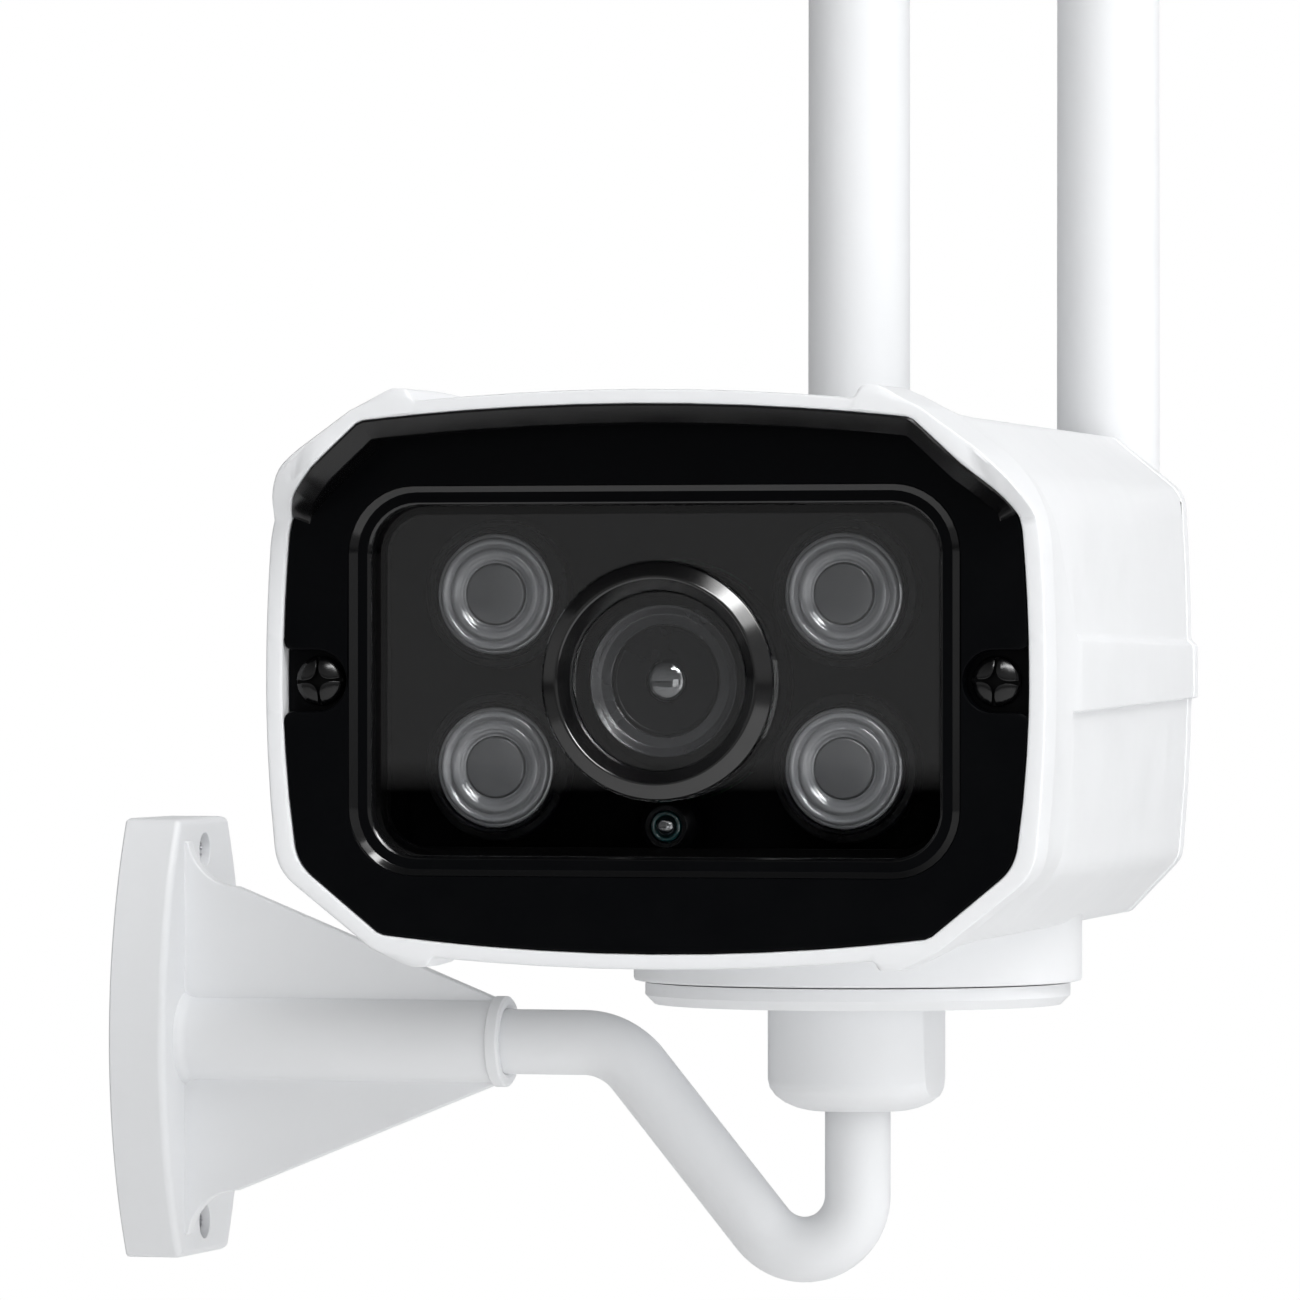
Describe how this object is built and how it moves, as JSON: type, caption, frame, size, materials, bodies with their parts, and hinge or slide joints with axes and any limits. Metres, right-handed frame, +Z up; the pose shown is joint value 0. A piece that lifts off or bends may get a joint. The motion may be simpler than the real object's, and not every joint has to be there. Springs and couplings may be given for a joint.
{
  "type": "security camera",
  "caption": "Outdoor box camera with a visor, a glazed front with lens and infrared lamps, rod antennas, and a bent-tube wall bracket with a ball joint.",
  "frame": {"origin": "centre of the wall plate's back face, which lies on the wall", "axes": "+X away from the wall, +Z up, the camera looks along -Y at rest"},
  "size_m": [0.1471, 0.1858, 0.2493],
  "materials": {
    "white_plastic": "fine satin, moulded white",
    "black_satin": "satin black moulding",
    "black_gloss": "gloss black",
    "clear_glass": "clear, slightly smoked",
    "rubber": "matt",
    "steel": "zinc plated",
    "circuit_board": "solder mask",
    "gold_plate": "plated",
    "nylon": "natural",
    "aluminium": "satin",
    "coated_glass": "coated, polished"
  },
  "bodies": {
    "bracket": {"wall_bracket": "white_plastic", "wall_screws": "steel", "arm_lock_screw": "steel", "sleeve_collar": "white_plastic"},
    "arm": {"arm_tube": "white_plastic", "arm_ball": "steel"},
    "head": {"swivel_head": "white_plastic", "ball_retainer": "black_satin", "tilt_lock_screw": "steel", "pan_washer": "nylon", "pan_ring": "steel", "pan_ring_screws": "steel"},
    "camera": {"housing_shell": "white_plastic", "visor_liner": "black_gloss", "front_plate": "black_satin", "front_gasket": "rubber", "front_screws": "black_gloss", "window_glass": "clear_glass", "window_gasket": "rubber", "lens_trim_ring": "black_gloss", "lens_window": "clear_glass", "lamp_board": "black_satin", "lamp_board_screws": "steel", "lamp_chips": "nylon", "lamp_holders": "black_satin", "lamp_lenses": "coated_glass", "light_sensor": "coated_glass", "light_sensor_holder": "black_satin", "lens_barrel": "black_satin", "lens_front_element": "coated_glass", "lens_rear_element": "coated_glass", "lens_holder": "black_satin", "filter_frame": "black_satin", "image_sensor": "coated_glass", "sensor_board": "circuit_board", "sensor_standoffs": "gold_plate", "sensor_ribbon": "nylon", "main_board": "circuit_board", "board_standoffs": "gold_plate", "board_screws": "steel", "processor": "black_satin", "heat_sink": "aluminium", "radio_module": "aluminium", "board_sockets": "nylon", "antenna_leads": "rubber", "rear_gasket": "rubber", "rear_cover": "white_plastic", "rear_cover_screws": "steel", "gland_body": "black_satin", "gland_seal": "rubber", "gland_nut": "black_satin", "antenna_sockets": "gold_plate"},
    "filter": {"filter_slide": "coated_glass"},
    "socket_left": {"antenna_base_left": "white_plastic", "antenna_pin_left": "steel"},
    "socket_right": {"antenna_base_right": "white_plastic", "antenna_pin_right": "steel"},
    "rod_left": {"antenna_left": "white_plastic"},
    "rod_right": {"antenna_right": "white_plastic"}
  },
  "joints": [
    {"name": "arm_turn", "type": "hinge", "parent": "bracket", "child": "arm", "pos_m": [0.03, -0.0075, 0], "axis": [1, 0, 0], "range_deg": [-90, 90]},
    {"name": "head_tilt", "type": "hinge", "parent": "arm", "child": "head", "pos_m": [0.099, -0.0075, -0.0005], "axis": [1, 0, 0], "range_deg": [-80, 10]},
    {"name": "camera_pan", "type": "hinge", "parent": "head", "child": "camera", "pos_m": [0.099, -0.0075, 0], "axis": [0, 0, 1], "range_deg": [-30, 210]},
    {"name": "filter_shift", "type": "slide", "parent": "camera", "child": "filter", "axis": [1, 0, 0], "range_m": [0, 0.007]},
    {"name": "left_swivel", "type": "hinge", "parent": "camera", "child": "socket_left", "pos_m": [0.0815, 0.0575, 0.0595], "axis": [0, 1, 0], "range_deg": [-90, 5]},
    {"name": "left_fold", "type": "hinge", "parent": "socket_left", "child": "rod_left", "pos_m": [0.0815, 0.0625, 0.0595], "axis": [1, 0, 0], "range_deg": [-90, 0]},
    {"name": "right_swivel", "type": "hinge", "parent": "camera", "child": "socket_right", "pos_m": [0.1165, 0.0575, 0.0595], "axis": [0, 1, 0], "range_deg": [-5, 90]},
    {"name": "right_fold", "type": "hinge", "parent": "socket_right", "child": "rod_right", "pos_m": [0.1165, 0.0625, 0.0595], "axis": [1, 0, 0], "range_deg": [-90, 0]}
  ]
}
